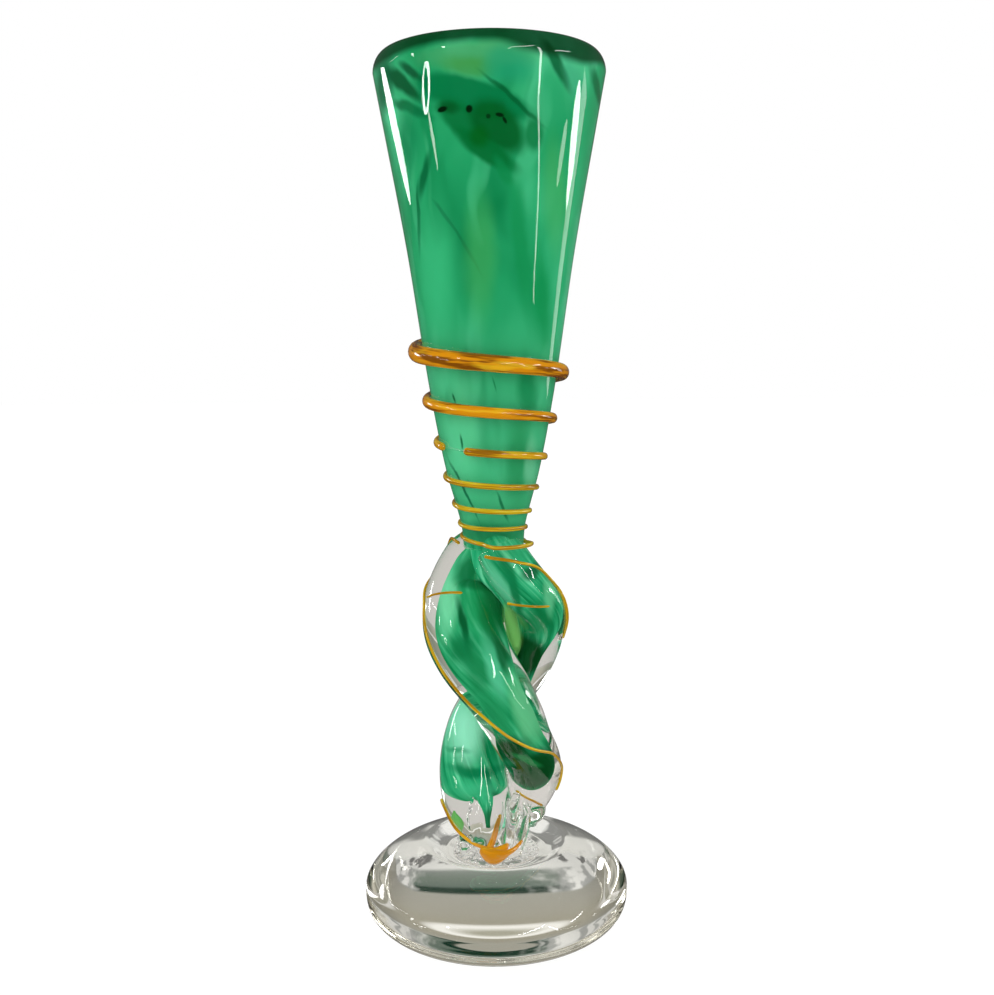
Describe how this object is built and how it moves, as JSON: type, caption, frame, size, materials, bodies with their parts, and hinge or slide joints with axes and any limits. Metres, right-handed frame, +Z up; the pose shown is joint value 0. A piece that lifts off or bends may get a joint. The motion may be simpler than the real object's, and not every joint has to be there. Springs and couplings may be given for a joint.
{
  "type": "blown glass vase",
  "caption": "Tall tapering cased-glass bowl on a stem of twisted strands, wound with an amber glass trail, on a solid domed foot.",
  "frame": {"origin": "centre of the foot's flat base", "axes": "+Z up along the bowl's axis; -Y is the side the picture shows"},
  "size_m": [0.0932, 0.0932, 0.3],
  "materials": {
    "clear_glass": "fire-polished clear glass with a faint warm grey",
    "green_glass": "swirled emerald green glass, nearly opaque",
    "amber_glass": "amber glass thread streaked with brown and yellow"
  },
  "bodies": {
    "root": {"foot": "clear_glass", "joining_pad": "clear_glass", "left_strand_casing": "clear_glass", "right_strand_casing": "clear_glass", "bowl_casing": "clear_glass", "trail_bridge": "clear_glass", "left_strand_core": "green_glass", "right_strand_core": "green_glass", "bowl_colour": "green_glass", "trail_upper_rings": "amber_glass", "trail_lower_rings": "amber_glass", "trail_left_strand": "amber_glass", "trail_right_shoulder": "amber_glass", "trail_left_eye": "amber_glass", "trail_right_eye": "amber_glass", "trail_lower_right": "amber_glass", "trail_foot": "amber_glass"}
  },
  "joints": []
}
